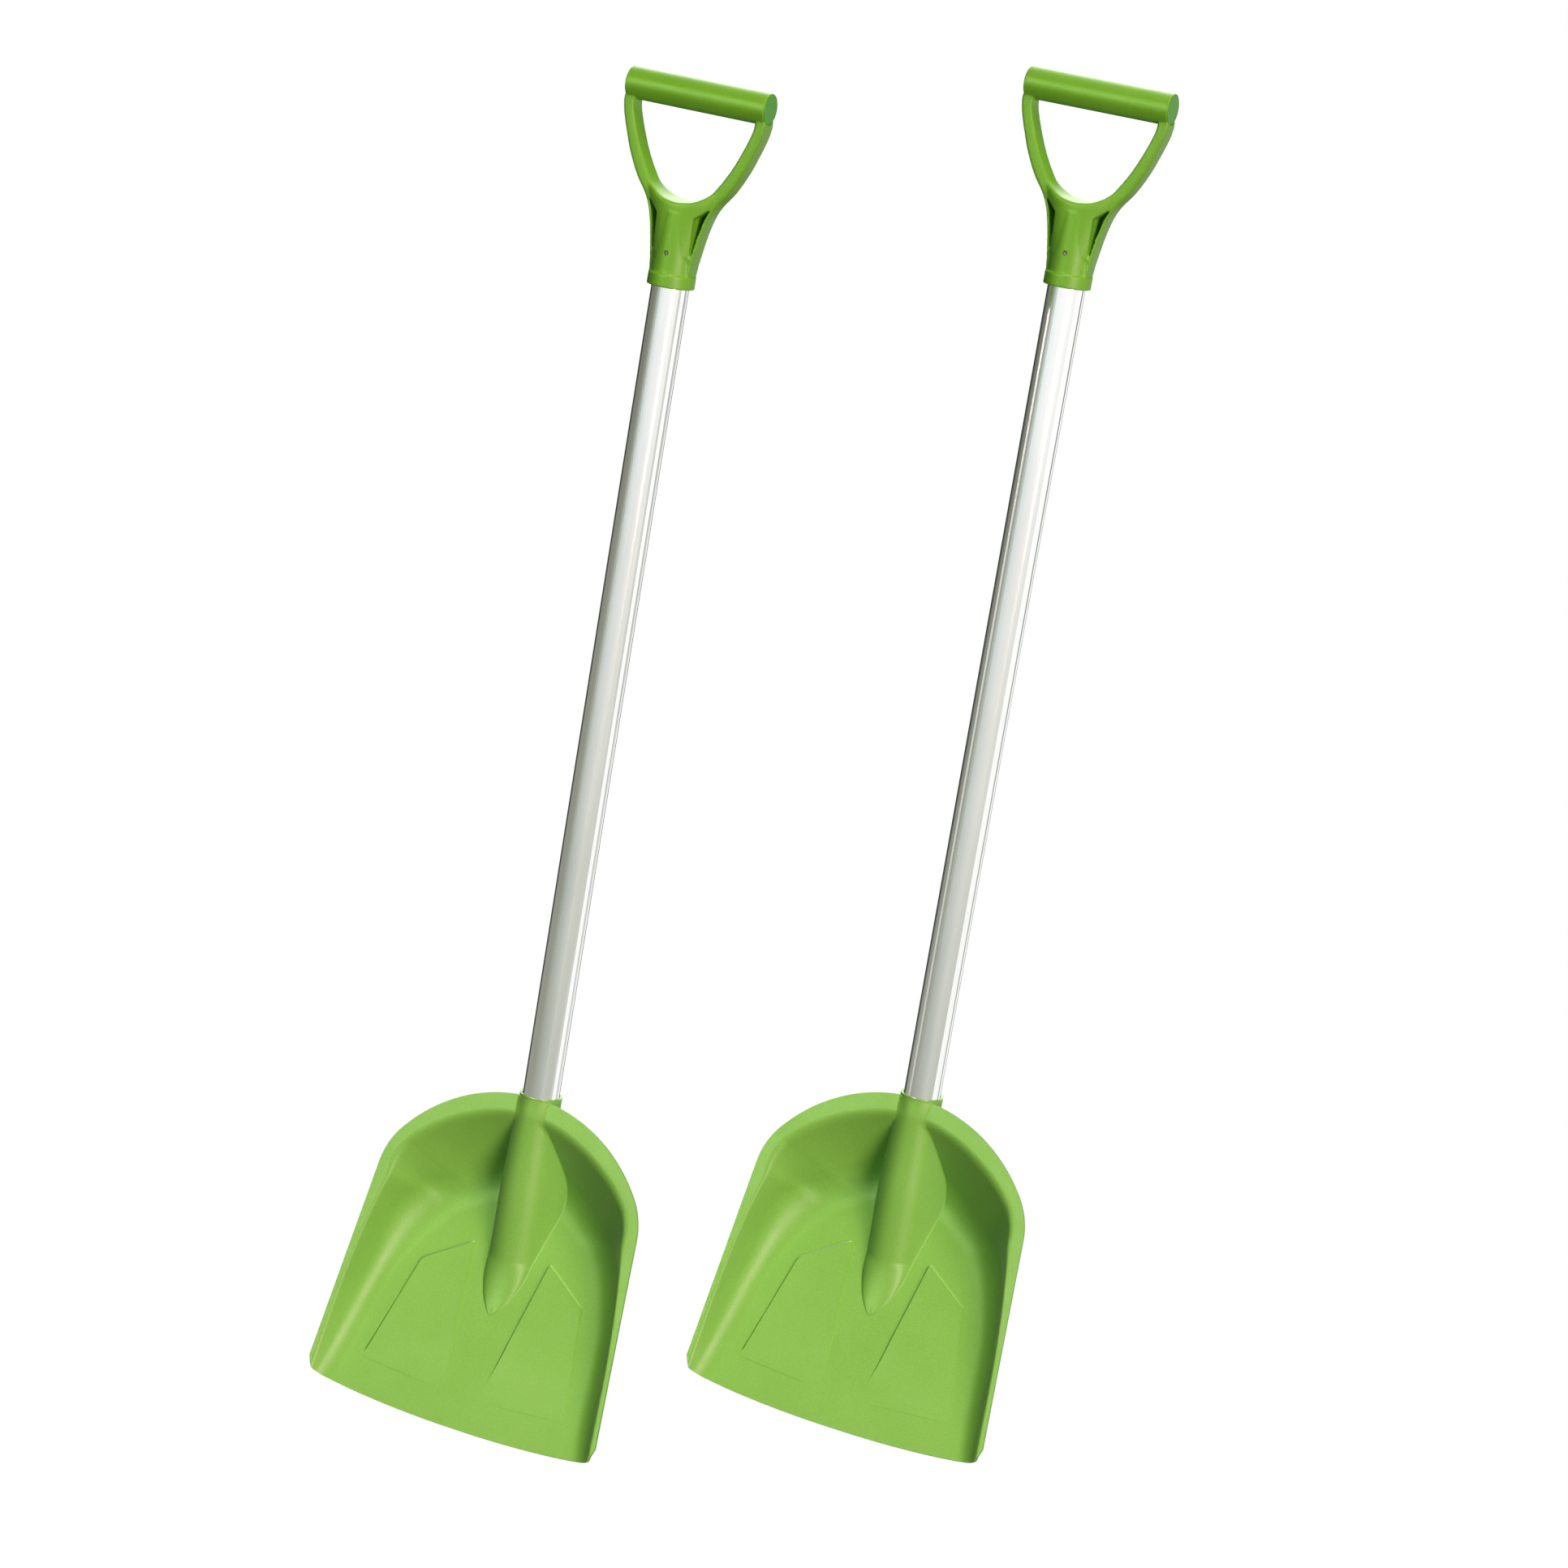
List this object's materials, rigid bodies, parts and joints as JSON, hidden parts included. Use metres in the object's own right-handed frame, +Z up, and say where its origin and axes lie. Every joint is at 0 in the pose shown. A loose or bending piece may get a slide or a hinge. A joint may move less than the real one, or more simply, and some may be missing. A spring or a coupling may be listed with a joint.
{
  "type": "scoop shovel pair",
  "caption": "Pair of light garden scoop shovels: moulded plastic scoop with rolled side walls, straight metal tube shaft and moulded D-grip.",
  "frame": {"origin": "centre of the underside of the bounding box of the pair, at the height of the lowest blade edge", "axes": "+Z up along both shafts, +X along both grip bars to the right of someone facing the hollows, -Y the way the hollows of the scoops face"},
  "size_m": [0.581, 0.2486, 1.2296],
  "materials": {
    "scoop_green": "satin moulded, fine grain",
    "grip_green": "satin moulded",
    "tube_aluminium": "bright drawn, satin",
    "screw_steel": "dark oxide"
  },
  "bodies": {
    "shovel_a": {"shovel_a_scoop": "scoop_green", "shovel_a_shaft_tube": "tube_aluminium", "shovel_a_d_grip": "grip_green", "shovel_a_grip_plug_left": "grip_green", "shovel_a_grip_plug_right": "grip_green", "shovel_a_grip_screw": "screw_steel", "shovel_a_socket_screw": "screw_steel"},
    "shovel_b": {"shovel_b_scoop": "scoop_green", "shovel_b_shaft_tube": "tube_aluminium", "shovel_b_d_grip": "grip_green", "shovel_b_grip_plug_left": "grip_green", "shovel_b_grip_plug_right": "grip_green", "shovel_b_grip_screw": "screw_steel", "shovel_b_socket_screw": "screw_steel"}
  },
  "joints": [
    {"name": "shovel_b_lift", "type": "slide", "parent": "shovel_a", "child": "shovel_b", "axis": [0, 0, 1], "range_m": [0, 0.3]}
  ]
}
